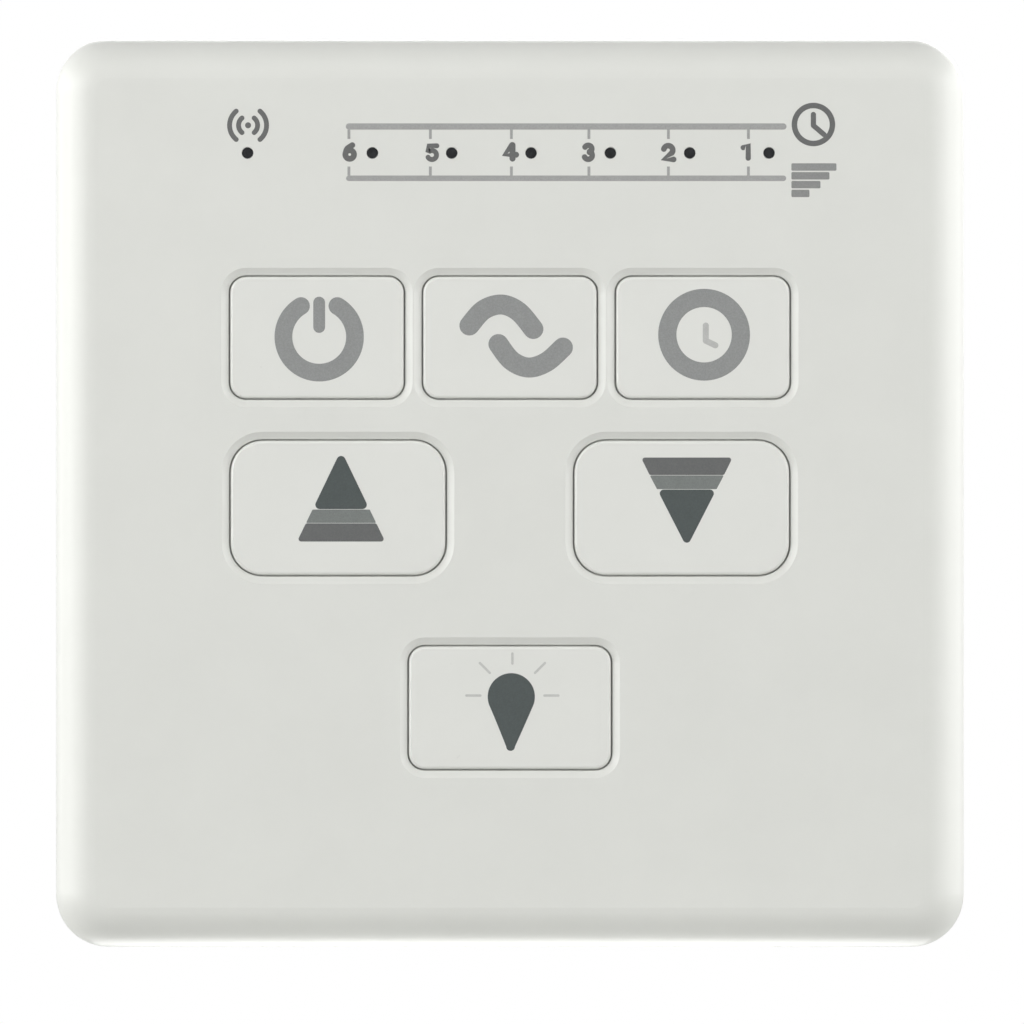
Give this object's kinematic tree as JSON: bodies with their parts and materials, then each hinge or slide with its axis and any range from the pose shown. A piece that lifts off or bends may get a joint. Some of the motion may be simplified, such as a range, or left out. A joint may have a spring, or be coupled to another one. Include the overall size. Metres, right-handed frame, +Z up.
{
  "type": "fan speed control switch",
  "caption": "Square wall plate with push keys for a ceiling fan's power, breeze, timer, speed and light, and a row of indicator lights.",
  "frame": {"origin": "midway between the two wall-fixing slots, on the wall's surface, which is also the centre of the square plate", "axes": "+Y into the wall, so the keys face -Y; +Z up; +X to the right as the user sees the plate"},
  "size_m": [0.086, 0.0345, 0.086],
  "materials": {
    "cover_plastic": "satin moulded off-white plastic",
    "key_plastic": "satin moulded off-white plastic",
    "smoked_guide": "smoked clear plastic",
    "black_plastic": "black moulded plastic",
    "plunger_plastic": "black moulded plastic",
    "tinned_steel": "tinned sheet",
    "spring_steel": "bright spring sheet",
    "lamp_body": "cast resin",
    "circuit_board": "green coated board",
    "frame_plastic": "moulded plastic, fine spark texture",
    "ferrite": "dark ferrite and tape",
    "can_metal": "sleeved can",
    "component_plastic": "moulded resin",
    "terminal_plastic": "green moulded plastic",
    "terminal_brass": "plain",
    "screw_steel": "zinc plated"
  },
  "bodies": {
    "housing": {"front_cover": "cover_plastic", "light_guide": "smoked_guide", "light_baffle": "black_plastic", "header_socket": "black_plastic", "pin_header": "black_plastic", "controller_chip": "black_plastic", "power_switch_base": "black_plastic", "breeze_switch_base": "black_plastic", "timer_switch_base": "black_plastic", "faster_switch_base": "black_plastic", "slower_switch_base": "black_plastic", "light_switch_base": "black_plastic", "power_switch_plate": "tinned_steel", "breeze_switch_plate": "tinned_steel", "timer_switch_plate": "tinned_steel", "faster_switch_plate": "tinned_steel", "slower_switch_plate": "tinned_steel", "light_switch_plate": "tinned_steel", "switch_leads": "tinned_steel", "radio_module": "tinned_steel", "antenna": "tinned_steel", "power_dome": "spring_steel", "breeze_dome": "spring_steel", "timer_dome": "spring_steel", "faster_dome": "spring_steel", "slower_dome": "spring_steel", "light_dome": "spring_steel", "signal_led": "lamp_body", "level_led_6": "lamp_body", "level_led_5": "lamp_body", "level_led_4": "lamp_body", "level_led_3": "lamp_body", "level_led_2": "lamp_body", "level_led_1": "lamp_body", "control_board": "circuit_board", "power_board": "circuit_board", "mounting_frame": "frame_plastic", "rear_housing": "frame_plastic", "transformer": "ferrite", "capacitor": "can_metal", "fuse": "component_plastic", "rectifier": "component_plastic", "terminal_block": "terminal_plastic", "terminal_clamps": "terminal_brass", "terminal_screws": "screw_steel", "board_screws": "screw_steel", "housing_screws": "screw_steel"},
    "power_key_body": {"power_key": "key_plastic", "power_plunger": "plunger_plastic"},
    "breeze_key_body": {"breeze_key": "key_plastic", "breeze_plunger": "plunger_plastic"},
    "timer_key_body": {"timer_key": "key_plastic", "timer_plunger": "plunger_plastic"},
    "faster_key_body": {"faster_key": "key_plastic", "faster_plunger": "plunger_plastic"},
    "slower_key_body": {"slower_key": "key_plastic", "slower_plunger": "plunger_plastic"},
    "light_key_body": {"light_key": "key_plastic", "light_plunger": "plunger_plastic"}
  },
  "joints": [
    {"name": "power_key_press", "type": "slide", "parent": "housing", "child": "power_key_body", "axis": [0, 1, 0], "range_m": [0, 0.0003], "stiffness_N_per_m": 2500, "springref_m": -0.0003, "deforming": ["power_dome"]},
    {"name": "breeze_key_press", "type": "slide", "parent": "housing", "child": "breeze_key_body", "axis": [0, 1, 0], "range_m": [0, 0.0003], "stiffness_N_per_m": 2500, "springref_m": -0.0003, "deforming": ["breeze_dome"]},
    {"name": "timer_key_press", "type": "slide", "parent": "housing", "child": "timer_key_body", "axis": [0, 1, 0], "range_m": [0, 0.0003], "stiffness_N_per_m": 2500, "springref_m": -0.0003, "deforming": ["timer_dome"]},
    {"name": "faster_key_press", "type": "slide", "parent": "housing", "child": "faster_key_body", "axis": [0, 1, 0], "range_m": [0, 0.0003], "stiffness_N_per_m": 2500, "springref_m": -0.0003, "deforming": ["faster_dome"]},
    {"name": "slower_key_press", "type": "slide", "parent": "housing", "child": "slower_key_body", "axis": [0, 1, 0], "range_m": [0, 0.0003], "stiffness_N_per_m": 2500, "springref_m": -0.0003, "deforming": ["slower_dome"]},
    {"name": "light_key_press", "type": "slide", "parent": "housing", "child": "light_key_body", "axis": [0, 1, 0], "range_m": [0, 0.0003], "stiffness_N_per_m": 2500, "springref_m": -0.0003, "deforming": ["light_dome"]}
  ]
}
